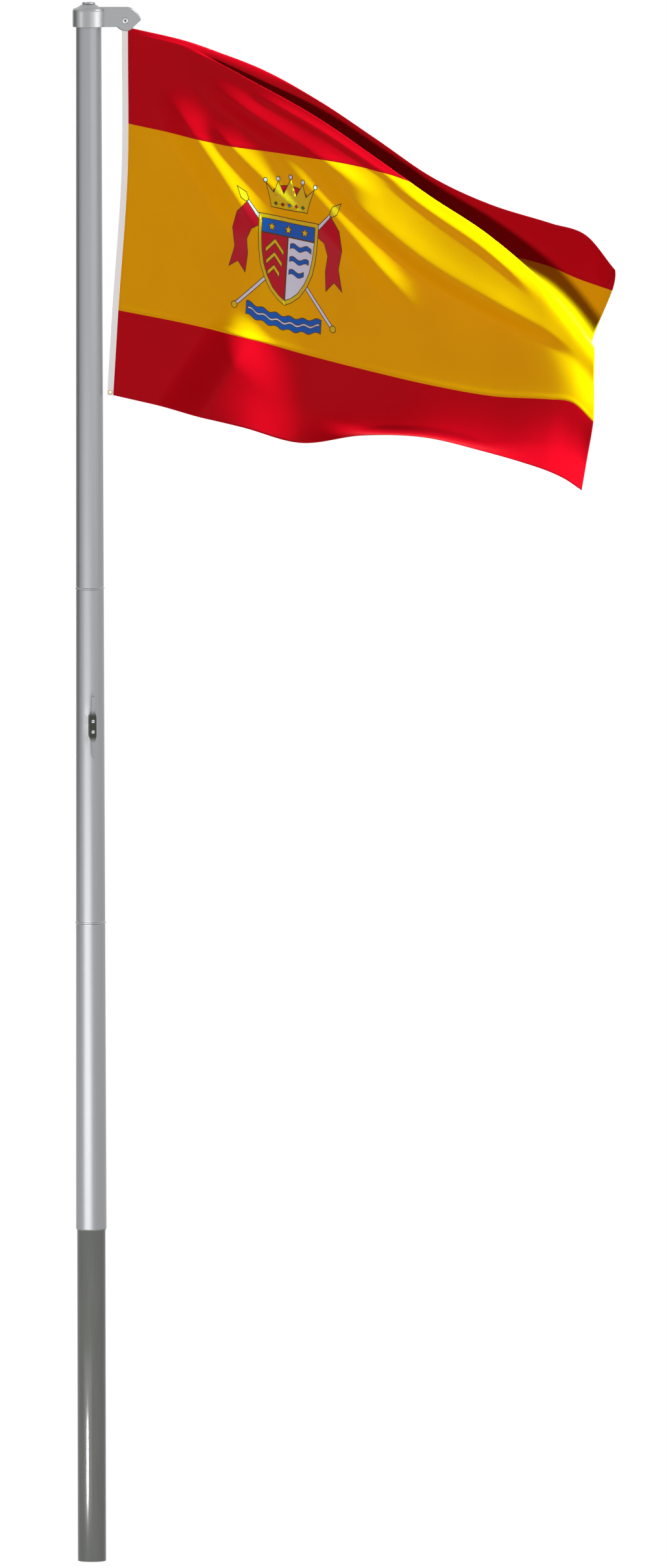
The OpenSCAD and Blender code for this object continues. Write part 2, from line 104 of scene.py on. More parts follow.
def start_material(name, hex_colour, roughness, metallic=0.0):
    material = bpy.data.materials.new(name)
    material.use_nodes = True
    shader = material.node_tree.nodes["Principled BSDF"]
    shader.inputs["Base Color"].default_value = linear(hex_colour)
    shader.inputs["Roughness"].default_value = roughness
    shader.inputs["Metallic"].default_value = metallic
    return material, shader


def tint_and_dent(material, shader, tint, low, high, height, strength, depth):
    """Let one pattern tint a surface between two colours, and the same or another one dent it"""
    colour = node(material, "ShaderNodeMix", {"Factor": tint, "A": low, "B": high}, data_type="RGBA")
    join(material, colour.outputs["Result"], shader, "Base Color")
    bump = node(material, "ShaderNodeBump", {"Height": height, "Strength": strength, "Distance": depth})
    join(material, bump.outputs[0], shader, "Normal")


print("mid grey in linear light:", round(linear("#808080")[0], 3))

# %% [markdown]
# ## Camera
# The photo was taken from in front and a little above, from far away: the pole hardly tapers with
# distance. An orthographic camera would come close, but a long lens at sixty metres keeps the little
# perspective that is left. Its place is worked out from where the pole's foot lies in the photo.

# %% Camera
PHOTO_W, PHOTO_H = 1028, 2416
MM_PER_PIXEL = 1.594
POLE_AXIS_PX, GROUND_PX = 139.2, 2407
CAMERA_FAR = 60.0
CAMERA_TILT = math.radians(5)
CAMERA_ROLL = math.radians(-0.075)
aim = Vector((
    (PHOTO_W / 2 - POLE_AXIS_PX) * MM_PER_PIXEL * MM,
    0,
    (GROUND_PX - PHOTO_H / 2) * MM_PER_PIXEL * MM / math.cos(CAMERA_TILT),
))
camera_data = bpy.data.cameras.new("camera")
camera = bpy.data.objects.new("camera", camera_data)
scene.collection.objects.link(camera)
camera.location = aim + CAMERA_FAR * Vector((0, -math.cos(CAMERA_TILT), math.sin(CAMERA_TILT)))
facing = Matrix.Rotation(math.pi / 2 - CAMERA_TILT, 3, "X") @ Matrix.Rotation(CAMERA_ROLL, 3, "Z")
camera.rotation_euler = facing.to_euler()
camera_data.sensor_fit = "VERTICAL"
camera_data.sensor_height = 36
camera_data.lens = camera_data.sensor_height * CAMERA_FAR / (PHOTO_H * MM_PER_PIXEL * MM)
camera_data.clip_end = 400
scene.camera = camera
print("camera at", [round(c, 2) for c in camera.location], "lens", round(camera_data.lens, 1), "mm")

# %% [markdown]
# ## Studio
# The photo's object stands cut out on white. A white room gives that: the world and the floor are white
# to the camera and in reflections, and light the object only softly, so that the lamps still model it.
# A Light Path node tells the rays that show a thing to the eye from the rays that only carry light.

# %% World
AMBIENT = 0.13


def seen_directly(owner):
    """1 for the rays that show a thing: from the camera, by a mirror or through glass"""
    rays = node(owner, "ShaderNodeLightPath").outputs
    seen = rays["Is Camera Ray"]
    for ray in ("Is Glossy Ray", "Is Transmission Ray"):
        seen = node(owner, "ShaderNodeMath", {0: seen, 1: rays[ray]}, operation="MAXIMUM")
    return seen


world = bpy.data.worlds.new("white_room")
scene.world = world
world.use_nodes = True
background = world.node_tree.nodes["Background"]
background.inputs["Color"].default_value = (1, 1, 1, 1)
level = node(world, "ShaderNodeMapRange", {"Value": seen_directly(world), "To Min": AMBIENT, "To Max": 1.0})
join(world, level.outputs[0], background, "Strength")
print("world:", world.name, "ambient", AMBIENT)

# %% Floor
FLOOR_HALF, FLOOR_GLOW, FLOOR_GLOW_SHARE = 150, 1.12, 0.9


def flat_sheet(name, material, matrix=Matrix()):
    """One square face, for what stands round the object and isn't part of it"""
    mesh = bpy.data.meshes.new(name)
    form = bmesh.new()
    bmesh.ops.create_grid(form, x_segments=1, y_segments=1, size=1, matrix=matrix)
    form.to_mesh(mesh)
    form.free()
    mesh.materials.append(material)
    sheet = bpy.data.objects.new(name, mesh)
    scene.collection.objects.link(sheet)
    return sheet


# White paper: it glows to the eye, so that it melts into the world, and still takes a faint shadow
paper, shader = start_material("white_paper_floor", "#F2F2F2", 0.9)
shader.inputs["Specular IOR Level"].default_value = 0
glow = node(paper, "ShaderNodeEmission", {"Color": (1, 1, 1, 1), "Strength": FLOOR_GLOW})
share = node(paper, "ShaderNodeMath", {0: seen_directly(paper), 1: FLOOR_GLOW_SHARE}, operation="MULTIPLY")
mixed = node(paper, "ShaderNodeMixShader", {0: share, 1: shader, 2: glow})
join(paper, mixed.outputs[0], paper.node_tree.nodes["Material Output"], "Surface")
floor = flat_sheet("floor", paper, Matrix.Scale(FLOOR_HALF, 4))
print("floor:", floor.name, "half size", FLOOR_HALF, "m")

# %% [markdown]
# ## Lamps
# Two kinds of light show in the photo. A sun from the right and above rakes the flag, so that the folds that
# turn to it glow and the rest stays in even shade. The pole was lit by tall soft boxes, which draw long
# highlights on its tubes. One set of lamps for all would do in a real studio, but the flag and the pole were
# lit apart, so light linking gives each lamp its own group of pieces.

# %% Groups that the lamps light
def piece_group(name):
    group = bpy.data.collections.new(name)
    scene.collection.children.link(group)
    return group


flag_pieces = piece_group("flag_pieces")
white_pieces = piece_group("white_pieces")
pole_pieces = piece_group("pole_pieces")
head_pieces = piece_group("head_pieces")
sleeve_pieces = piece_group("sleeve_pieces")
print("lamp groups:", [group.name for group in scene.collection.children if group.name.endswith("_pieces")])

# %% Suns
def add_lamp(name, kind, energy, towards, receivers):
    """A lamp that lights one group only; towards points from the object to the lamp"""
    data = bpy.data.lights.new(name, kind)
    data.energy = energy
    lamp = bpy.data.objects.new(name, data)
    scene.collection.objects.link(lamp)
    lamp.rotation_euler = Vector(towards).to_track_quat("Z", "Y").to_euler()
    lamp.light_linking.receiver_collection = receivers
    return lamp


# The raking sun casts no shadow, as cloth this thin lets it through. Its tint turns the lit yellow to lemon
# and keeps the lit red from burning out.
key = add_lamp("side_key", "SUN", 13.8, (0.80, 0.06, 0.58), flag_pieces)
key.data.color = (0.46, 1.0, 0.85)
key.data.angle = math.radians(14)
key.data.use_shadow = False
key.data.cycles.max_bounces = 0
key.visible_glossy = False
# The front fill lies low, so that the fold's edge throws a dark band up on the cloth behind it
fill = add_lamp("front_fill", "SUN", 1.49, (-0.2, -0.95, -0.25), flag_pieces)
fill.data.angle = math.radians(7)
fill.light_linking.blocker_collection = flag_pieces
# The back fill is for views from behind
back = add_lamp("back_fill", "SUN", 1.4, (0.2, 0.95, 0.25), flag_pieces)
back.data.angle = math.radians(20)
back.light_linking.blocker_collection = flag_pieces
# The header's white webbing has fills of its own, front and back
add_lamp("tape_fill", "SUN", 2.5, (-0.3, -0.95, 0.1), white_pieces)
add_lamp("tape_back_fill", "SUN", 2.3, (0.3, 0.95, 0.1), white_pieces)

# %% Soft boxes
def add_strip(name, energy, azimuth, far, height, width, tall, receivers):
    """A soft box that faces the pole; the azimuth is in degrees from the front, towards the flag"""
    turn = math.radians(azimuth)
    away = Vector((math.sin(turn), -math.cos(turn), 0))
    lamp = add_lamp(name, "AREA", energy, away, receivers)
    lamp.location = far * away + Vector((0, 0, height))
    lamp.data.shape = "RECTANGLE"
    lamp.data.size = width
    lamp.data.size_y = tall
    return lamp


# Each soft box: its watts, its azimuth, then how far off, how high, how wide and how tall it is in metres
add_strip("pole_strip", 74, -23.5, 4.0, 0.75, 4.2, 1.4, pole_pieces)
add_strip("top_strip", 19, 42, 4.0, 3.4, 4.4, 1.5, pole_pieces)
add_strip("head_strip", 4.6, 68, 1.5, 3.7, 1.3, 0.5, head_pieces)
add_strip("head_side", 1.3, -54, 1.5, 3.7, 0.35, 0.5, head_pieces)
# A small box above and beyond the arm lights its nose
nose = add_strip("nose_light", 4.0, 90, 1.0, 4.85, 0.4, 0.4, head_pieces)
nose.rotation_euler = Vector((0.7, 0, 0.7)).to_track_quat("Z", "Y").to_euler()
# A small bright box and a wide dim one: the glint low on the glossy sleeve and the sheen round it
glint = add_strip("sleeve_strip", 6.0, -33, 0.8, 0.158, 0.2, 0.2, sleeve_pieces)
glint.visible_diffuse = False
sheen = add_strip("sleeve_sheen", 2.2, -30, 0.8, 0.2, 0.95, 0.45, sleeve_pieces)
sheen.visible_diffuse = False
panel = add_lamp("sleeve_fill", "SUN", 1.9, (-0.05, -1, 0.2), sleeve_pieces)
panel.visible_glossy = False

# %% [markdown]
# ## A card beside the pole
# A satin tube in an all white room has no edges. A photographer stands a dark card out of the picture, and
# its reflection draws a line down the tube's side. The finish could be made darker there instead, but then
# the line would turn with the pole. Only reflections see this card.

# %% Edge card
CARD_FAR, CARD_HEIGHT, CARD_HALF_WIDE, CARD_HALF_TALL, CARD_AZIMUTH = 3, 3.2, 1.3, 1.8, -115
turn = math.radians(CARD_AZIMUTH)
away = Vector((math.sin(turn), -math.cos(turn), 0))
place = Matrix.Translation(CARD_FAR * away + Vector((0, 0, CARD_HEIGHT)))
place = place @ away.to_track_quat("Z", "Y").to_matrix().to_4x4()
# Grey card: dull, with an even glow of its own, so that the line it draws is grey and not black
grey_card, shader = start_material("dark_card", "#303030", 1.0)
shader.inputs["Emission Color"].default_value = linear("#8A8A8A")
shader.inputs["Emission Strength"].default_value = 1.0
card = flat_sheet("edge_cards", grey_card, place @ Matrix.Diagonal((CARD_HALF_WIDE, CARD_HALF_TALL, 1, 1)))
card.visible_camera = False
card.visible_diffuse = False
card.visible_shadow = False
card.visible_transmission = False
print("card:", card.name, "at", [round(c, 2) for c in place.translation])

# %% [markdown]
# ## The flag's cloth
# The flag hangs from its header, flies to the right and folds over itself at the top. A cloth simulation
# would find folds of its own, and these have to lie where the photo shows them, so the form is given as
# rows of places along the fly, as shares of the flag's own size, from its foot up to its top. Past
# the crest, which is the fold's edge, the cloth goes down behind it into a valley, up again and over a roll
# to its top edge. That pocket opens towards the fly.

# %% Rows of the cloth
FLY, HOIST = 1350 * MM, 900 * MM
screw_low, screw_high = (Vector(corner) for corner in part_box("arm_screw"))
screw_at = (screw_low + screw_high) / 2
CORNER_BESIDE_SCREW, CORNER_UNDER_SCREW = 6 * MM, 16.7 * MM
FLAG_CORNER = np.array((screw_at.x + CORNER_BESIDE_SCREW, 0, screw_at.z - CORNER_UNDER_SCREW))
# Each place is a share of the fly outwards, a share of the fly to the back and a share of the hoist downwards
COLUMNS = np.array((0, 0.125, 0.25, 0.375, 0.5, 0.625, 0.75, 0.875, 0.94, 1))
BOTTOM_ROW = np.array((
    (-0.028, 0, 1.004), (0.094, -0.007, 1.046), (0.206, -0.037, 1.087), (0.313, -0.011, 1.134),
    (0.424, -0.063, 1.108), (0.536, -0.085, 1.111), (0.645, -0.090, 1.149), (0.744, -0.074, 1.195),
    (0.789, -0.052, 1.226), (0.823, -0.020, 1.263),
))
HEM_ROW = np.array((
    (-0.024, 0, 0.907), (0.097, -0.004, 0.947), (0.210, -0.022, 0.988), (0.318, 0, 1.038),
    (0.429, -0.018, 1.086), (0.542, -0.036, 1.101), (0.654, -0.041, 1.127), (0.756, -0.033, 1.125),
    (0.800, -0.012, 1.146), (0.832, 0.014, 1.191),
))
QUARTER_ROW = np.array((
    (-0.018, 0, 0.763), (0.104, -0.004, 0.799), (0.217, -0.012, 0.839), (0.324, -0.003, 0.885),
    (0.435, -0.007, 0.927), (0.548, -0.012, 0.967), (0.660, -0.015, 0.997), (0.761, -0.016, 1.007),
    (0.807, -0.010, 1.018), (0.845, 0.006, 1.073),
))
CREST_ROW = np.array((
    (0, 0, 0.021), (0.121, 0, 0.068), (0.237, -0.010, 0.156), (0.346, -0.019, 0.249),
    (0.447, -0.022, 0.354), (0.548, -0.018, 0.463), (0.651, -0.016, 0.566), (0.747, -0.010, 0.692),
    (0.796, 0.004, 0.782), (0.847, 0.029, 0.885),
))
VALLEY_ROW = np.array((
    (0, 0, 0.016), (0.121, 0.002, 0.063), (0.238, 0.020, 0.180), (0.346, 0.033, 0.284),
    (0.448, 0.048, 0.399), (0.548, 0.060, 0.510), (0.652, 0.076, 0.612), (0.749, 0.098, 0.705),
    (0.801, 0.122, 0.777), (0.846, 0.145, 0.862),
))
REAR_ROW = np.array((
    (0, 0, 0.011), (0.121, 0.004, 0.058), (0.239, 0.014, 0.140), (0.346, 0.028, 0.232),
    (0.449, 0.039, 0.341), (0.551, 0.052, 0.453), (0.655, 0.066, 0.544), (0.763, 0.086, 0.618),
    (0.824, 0.104, 0.674), (0.882, 0.116, 0.724),
))
ROLL_ROW = np.array((
    (0, 0, 0.005), (0.121, 0.007, 0.051), (0.239, 0.018, 0.115), (0.346, 0.024, 0.203),
    (0.449, 0.031, 0.307), (0.552, 0.041, 0.414), (0.657, 0.052, 0.489), (0.770, 0.062, 0.543),
    (0.832, 0.070, 0.576), (0.884, 0.086, 0.671),
))
TOP_ROW = np.array((
    (0, 0, 0), (0.121, 0.012, 0.046), (0.239, 0.030, 0.121), (0.347, 0.041, 0.224),
    (0.450, 0.053, 0.347), (0.553, 0.070, 0.471), (0.658, 0.093, 0.563), (0.773, 0.111, 0.628),
    (0.830, 0.111, 0.664), (0.868, 0.111, 0.726),
))
CLOTH_ROWS = (BOTTOM_ROW, HEM_ROW, QUARTER_ROW, CREST_ROW, VALLEY_ROW, REAR_ROW, ROLL_ROW, TOP_ROW)
print("cloth rows:", len(CLOTH_ROWS), "of", len(COLUMNS), "places; top corner at", FLAG_CORNER.round(3))

# %% [markdown]
# ## A curve through the rows
# Cloth bends without corners. A cubic curve through each row, and then one across the rows, gives a surface
# that is smooth both ways and still passes through every place that was set. A subdivided cage would be
# smooth too, but it draws back from its points. crest_height says how far up the cloth the fold's edge lies:
# near the top at the hoist and halfway down at the fly.

# %% Smooth curves
FOLD_START, FOLD_BLEND, FOLD_LEAST, FOLD_AT_FLY = 0.15, 0.05, 0.02, 0.5


def smooth_curve(stations, places, t):
    """A cubic through each column of places, which stand at its stations, taken at that column's t"""
    count = len(stations)
    each = np.arange(len(t))
    span = np.clip((t[None] >= stations[1:-1]).sum(0), 0, count - 2)
    before = np.maximum(np.arange(count) - 1, 0)
    after = np.minimum(np.arange(count) + 1, count - 1)
    slopes = (places[after] - places[before]) / (stations[after] - stations[before])[..., None]
    width = stations[span + 1, each] - stations[span, each]
    s = (t - stations[span, each]) / width
    rise = (3 * s ** 2 - 2 * s ** 3)[:, None]
    leave = ((s ** 3 - 2 * s ** 2 + s) * width)[:, None]
    arrive = ((s ** 3 - s ** 2) * width)[:, None]
    return ((1 - rise) * places[span, each] + rise * places[span + 1, each]
            + leave * slopes[span, each] + arrive * slopes[span + 1, each])


def row_at(row, u):
    return smooth_curve(np.repeat(COLUMNS[:, None], len(u), 1), np.repeat(row[:, None], len(u), 1), u)


def opened(u):
    """How far the fold has opened: 0 up to FOLD_START and 1 at the fly, with a soft bend between"""
    past = (u - FOLD_START) / (1 - FOLD_START)
    return (past + np.sqrt(past ** 2 + FOLD_BLEND ** 2)) / 2


def crest_height(u):
    return 1 - FOLD_LEAST - (FOLD_AT_FLY - FOLD_LEAST) * opened(u)


def ease(low, high, x):
    t = np.clip((x - low) / (high - low), 0, 1)
    return t * t * (3 - 2 * t)


fold_edge = crest_height(np.array((0.0, 0.5, 1.0))).round(2)
print("fold's edge, as a share of the height, at hoist, middle and fly:", fold_edge)

# %% [markdown]
# ## Pulled folds
# The wind pulls the cloth from its upper corner, so ridges fan out from there. Each one rises steeply on its
# lower side and falls off slowly on its upper side, which is the side that the raking sun lights. They could
# be sculpted, but a formula keeps the place and the height of each as numbers to match to the photo.

# %% Ridges
# Each ridge: from u, v to u, v, then bow, width below, width above and height in mm
RIDGES = (
    (0.08, 0.835, 0.25, 0.55, 0, 80, 84, 30),
    (0.165, 0.79, 0.35, 0.60, -10, 45, 60, 23),
    (0.29, 0.74, 0.57, 0.46, 0, 60, 62, 22),
    (0.365, 0.735, 0.88, 0.44, -36, 45, 115, 36),
    (0.53, 0.735, 0.82, 0.55, 0, 30, 40, 13),
    (0.16, 0.90, 0.47, 0.70, -8, 50, 46, 21),
    (0.25, 0.893, 0.55, 0.735, 0, 24, 120, 20),
    (0.26, 0.25, 0.12, -0.12, 0, 110, 190, 60),
)
RIDGE_ROUND = 12
RIDGE_IN, RIDGE_OUT, FOLD_FADE = (-0.1, 0.25), (0.75, 1.2), 0.06


def ridge_lift(u, v):
    """How far the ridges lift the cloth to the front, in mm; they end at the fold's edge"""
    lift = np.zeros_like(u)
    flat = np.stack((u * FLY, v * HOIST), -1) / MM
    for u0, v0, u1, v1, bow, below, above, height in RIDGES:
        start = np.array((u0 * FLY, v0 * HOIST)) / MM
        way = np.array((u1 * FLY, v1 * HOIST)) / MM - start
        length = np.hypot(*way)
        way = way / length
        along = (flat - start) @ way / length
        across = (flat - start) @ np.array((-way[1], way[0])) - bow * 4 * along * (1 - along)
        fallen = (across + np.sqrt(across ** 2 + RIDGE_ROUND ** 2)) / 2 / above
        profile = ease(-below, 0, across) * np.clip(1 - fallen, 0, 1) ** 2
        lift += height * profile * ease(*RIDGE_IN, along) * (1 - ease(*RIDGE_OUT, along))
    return lift * ease(0, FOLD_FADE, crest_height(u) - v)


print("ridges:", len(RIDGES), "the highest", max(ridge[-1] for ridge in RIDGES), "mm")

# %% [markdown]
# ## Any point of the cloth
# One function now turns a place on the flat flag, u along the fly and v up the hoist, to a place in the
# air. The stripes, the seams and the crest all ask it, so they lie on the same folds.

# %% The cloth as a function
HOIST_BOW = np.array((0.008, 0, 0))
VALLEY, REAR, ROLL = 0.25, 0.5, 0.72
LOW_SEAM, HIGH_SEAM, HEM_LINE = 0.25, 0.75, 0.1


def cloth(u, v):
    """Places in the air, in metres, for places on the flat flag"""
    u, v = np.asarray(u, float), np.asarray(v, float)
    bottom, hem, quarter, crest, valley, rear, roll, top = (row_at(row, u) for row in CLOTH_ROWS)
    middle = (quarter + crest) / 2 + HOIST_BOW * ((1 - u) ** 4)[:, None]
    crest_v = crest_height(u)
    fold = 1 - crest_v
    stations = np.array((
        0 * u, 0 * u + HEM_LINE, 0 * u + LOW_SEAM, (LOW_SEAM + crest_v) / 2, crest_v,
        crest_v + fold * VALLEY, crest_v + fold * REAR, crest_v + fold * ROLL, 0 * u + 1))
    rows = np.array((bottom, hem, quarter, middle, crest, valley, rear, roll, top))
    shares = smooth_curve(stations, rows, v)
    places = FLAG_CORNER + shares * np.array((FLY, FLY, -HOIST))
    places[:, 1] -= ridge_lift(u, v) * MM
    return places


def cloth_normal(u, v, step=0.002):
    """Which way the front of the cloth faces"""
    along = cloth(np.minimum(u + step, 1), v) - cloth(np.maximum(u - step, 0), v)
    up = cloth(u, np.minimum(v + step, 1)) - cloth(u, np.maximum(v - step, 0))
    normal = np.cross(along, up)
    return normal / np.linalg.norm(normal, axis=1)[:, None]


print("foot of the fly edge at", cloth(np.array((1.0,)), np.array((0.0,)))[0].round(3))

# %% [markdown]
# ## Flag cloth
# The stripes are woven polyester. The weave is far finer than a pixel of the photo, so it only breaks up
# the light, but it shows when the view comes near. Two wave textures, one along each yarn, make it from
# the cloth's own flat map, which is in metres, so the yarns follow every fold. Rows of stitches along
# the hems and seams are dashes cut out of the same map.

# %% Yarns and stitches
# Real yarns lie about 0.4 mm apart; these are coarser, so that the weave shows at arm's length
YARN = 1.2 * MM
STITCH, STITCH_GAP, STITCH_WIDE = 3.2 * MM, 1.4 * MM, 0.8 * MM
STITCH_ROWS_UP = [6 * MM, 12 * MM, 222 * MM, 672 * MM, 888 * MM, 894 * MM]
STITCH_ROWS_ALONG = [4 * MM, 1338 * MM, 1344 * MM]


def yarns(material, flat, *directions):
    """Ridges of yarn that cross one another; a wave texture of scale 1 repeats every pi / 10"""
    height = 1.0
    for direction in directions:
        wave = node(material, "ShaderNodeTexWave",
                    {"Vector": flat, "Scale": math.pi / 10 / YARN, "Distortion": 0.4},
                    bands_direction=direction)
        height = node(material, "ShaderNodeMath", {0: height, 1: wave.outputs["Fac"]}, operation="MULTIPLY")
    return height


def stitches(material, across, along, rows):
    """1 where a dash of thread lies on one of the rows"""
    near = 0.0
    for row in rows:
        on_row = node(material, "ShaderNodeMath", {0: across, 1: row, 2: STITCH_WIDE / 2},
                      operation="COMPARE")
        near = node(material, "ShaderNodeMath", {0: near, 1: on_row}, operation="MAXIMUM")
    step = node(material, "ShaderNodeMath", {0: along, 1: STITCH + STITCH_GAP}, operation="MODULO")
    dash = node(material, "ShaderNodeMath", {0: step, 1: STITCH}, operation="LESS_THAN")
    return node(material, "ShaderNodeMath", {0: near, 1: dash}, operation="MULTIPLY")


print("rows of stitches:", len(STITCH_ROWS_UP), "along the fly and", len(STITCH_ROWS_ALONG), "up the hoist")

# %% Flag materials
CLOUD, CLOUD_SHADE, YARN_SHADE, STITCH_RISE = 111 * MM, 0.9, 0.35, 1.5


def woven_polyester(name, hex_colour, low_hex, thread_hex):
    """Cloth with a weave, faint clouds where the dye took unevenly, and rows of thread of its own colour"""
    material, shader = start_material(name, hex_colour, 0.62)
    shader.inputs["Specular IOR Level"].default_value = 0.05
    flat = node(material, "ShaderNodeUVMap", uv_map="cloth")
    weave = yarns(material, flat, "X", "Y")
    place = node(material, "ShaderNodeSeparateXYZ", {0: flat}).outputs
    hems = stitches(material, place[1], place[0], STITCH_ROWS_UP)
    ends = stitches(material, place[0], place[1], STITCH_ROWS_ALONG)
    sewn = node(material, "ShaderNodeMath", {0: hems, 1: ends}, operation="MAXIMUM")
    cloud = node(material, "ShaderNodeTexNoise", {"Vector": flat, "Scale": 1 / CLOUD, "Detail": 3.0})
    shade = node(material, "ShaderNodeMath", {0: cloud, 1: CLOUD_SHADE}, operation="MULTIPLY")
    shade = node(material, "ShaderNodeMath", {0: weave, 1: YARN_SHADE, 2: shade}, operation="MULTIPLY_ADD")
    colour = node(material, "ShaderNodeMix", {"Factor": shade, "A": linear(low_hex), "B": linear(hex_colour)},
                  data_type="RGBA")
    height = node(material, "ShaderNodeMath", {0: sewn, 1: STITCH_RISE, 2: weave}, operation="MULTIPLY_ADD")
    tint_and_dent(material, shader, sewn, colour.outputs["Result"], linear(thread_hex),
                  height, 0.15, 0.25 * MM)
    return material


# Red that stays deep in the shade; the thread is a little duller than the cloth
red_cloth = woven_polyester("red_woven_polyester", "#CE0416", "#C20314", "#A80E1E")
# Golden yellow, near orange in the shade
yellow_cloth = woven_polyester("yellow_woven_polyester", "#FDAD00", "#F4A300", "#D8900A")
print("cloths:", red_cloth.name, yellow_cloth.name)

# %% [markdown]
# ## Sewing the stripes
# The real flag is three lengths of cloth, sewn with a lap at each seam. Each stripe is a flat grid of its own
# that the cloth's function lays in the air. The grid's points next to the fold's edge are moved on to it,
# or else that edge would show as saw teeth, and a Solidify modifier gives the cloth its two faces.

# %% Helpers for sewn pieces
def new_piece(name, form, material):
    mesh = bpy.data.meshes.new(name)
    form.to_mesh(mesh)
    form.free()
    mesh.shade_smooth()
    mesh.materials.append(material)
    piece = bpy.data.objects.new(name, mesh)
    scene.collection.objects.link(piece)
    return piece


def map_flat(form, u, v):
    """Keep each corner's place on the flat flag, in metres, for the patterns of the finish"""
    layer = form.loops.layers.uv.new("cloth")
    form.verts.index_update()
    for face in form.faces:
        for loop in face.loops:
            i = loop.vert.index
            loop[layer].uv = (u[i] * FLY, v[i] * HOIST)


def fly_with_flag(piece):
    piece.visible_glossy = False
    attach(piece, "head")
    flag_pieces.objects.link(piece)


print("the flat map spans", FLY, "by", HOIST, "m")

# %% Flag stripes
LAP, LAP_LIFT, CLOTH_THICK, FLY_STEPS = 8 * MM, 0.8 * MM, 0.6 * MM, 320


def stripe(name, v0, v1, v_steps, material):
    """One length of cloth between two heights of the flat flag; its lower edge laps over the next one"""
    form = bmesh.new()
    bmesh.ops.create_grid(form, x_segments=FLY_STEPS, y_segments=v_steps, size=0.5)
    u = np.array([vert.co.x + 0.5 for vert in form.verts])
    v = np.array([v0 + (v1 - v0) * (vert.co.y + 0.5) for vert in form.verts])
    fold = crest_height(u)
    on_fold = (abs(v - fold) < (v1 - v0) / v_steps / 2) & (v > v0) & (v < v1)
    v = np.where(on_fold, fold, v)
    lap = LAP_LIFT * (1 - ease(v0 + LAP / HOIST, v0 + 2 * LAP / HOIST, v)) * (v0 > 0)
    for vert, place in zip(form.verts, cloth(u, v) + cloth_normal(u, v) * lap[:, None]):
        vert.co = place
    form.verts.index_update()
    # Where the fold's edge runs from corner to corner of a face, the face is cut along it
    for face in form.faces[:]:
        a, b, c, d = face.verts
        for one, other in ((a, c), (b, d)):
            if on_fold[one.index] and on_fold[other.index]:
                bmesh.utils.face_split(face, one, other)
    map_flat(form, u, v)
    piece = new_piece(name, form, material)
    thick = piece.modifiers.new("cloth thickness", "SOLIDIFY")
    thick.thickness = CLOTH_THICK
    thick.offset = 0
    fly_with_flag(piece)
    return piece


top_stripe = stripe("top_stripe_cloth", HIGH_SEAM - LAP / HOIST, 1, 100, red_cloth)
middle_stripe = stripe("middle_stripe_cloth", LOW_SEAM - LAP / HOIST, HIGH_SEAM, 110, yellow_cloth)
bottom_stripe = stripe("bottom_stripe_cloth", 0, LOW_SEAM, 45, red_cloth)
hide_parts("flag_top_stripe")
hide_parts("flag_middle_stripe")
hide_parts("flag_bottom_stripe")
print("stripe faces:", [len(piece.data.polygons) for piece in (top_stripe, middle_stripe, bottom_stripe)])

# %% [markdown]
# ## A sewn crest
# The crest near the hoist is sewn on, and its design is a plain invention: a shield on two crossed staffs
# with pennants, an open coronet over it and a plain scroll under it. Every patch is drawn flat, in
# millimetres from the middle of the shield, with only the points that its shape needs. Small functions draw
# the round, wavy and pointed ones, and a mirror image saves drawing the left half.

# %% Shapes for the crest
STAR_WAIST, WAVE_LONG, WAVE_STEP = 0.45, 34, 4


def mirrored(outline):
    return [(-x, y) for x, y in reversed(outline)]


def both_sides(outline):
    """Close a right-hand outline, drawn from the foot to the top, with its own mirror image"""
    return outline + mirrored(outline)


def disc(x, y, r, points=14):
    turns = [2 * math.pi * i / points for i in range(points)]
    return [(x + r * math.cos(t), y + r * math.sin(t)) for t in turns]


def star(x, y, r):
    turns = [math.pi / 2 + math.pi * i / 5 for i in range(10)]
    radii = [r, STAR_WAIST * r] * 5
    return [(x + radius * math.cos(t), y + radius * math.sin(t)) for radius, t in zip(radii, turns)]


def chevron(x, y, half, thick):
    return [(x - half, y - half), (x, y), (x + half, y - half), (x + half, y - half + thick),
            (x, y + thick), (x - half, y - half + thick)]


def wavy_bar(x0, x1, y, rise, thick, sag=0.0):
    xs = np.linspace(x0, x1, round((x1 - x0) / WAVE_STEP) + 1)
    middle = y + rise * np.sin(2 * np.pi * (xs - x0) / WAVE_LONG)
    middle += sag * (2 * (xs - x0) / (x1 - x0) - 1) ** 2
    lower = list(zip(xs, middle - thick / 2))
    upper = list(zip(xs, middle + thick / 2))
    return lower + upper[::-1]


def along_staff(outline):
    """Turn an outline drawn along +Y on to the right-hand staff, 45 degrees to the right"""
    slant = math.radians(45)
    return [(x * math.cos(slant) + y * math.sin(slant), y * math.cos(slant) - x * math.sin(slant))
            for x, y in outline]


print("points of a star:", len(star(0, 0, 12)), "and of a disc:", len(disc(0, 0, 8)))

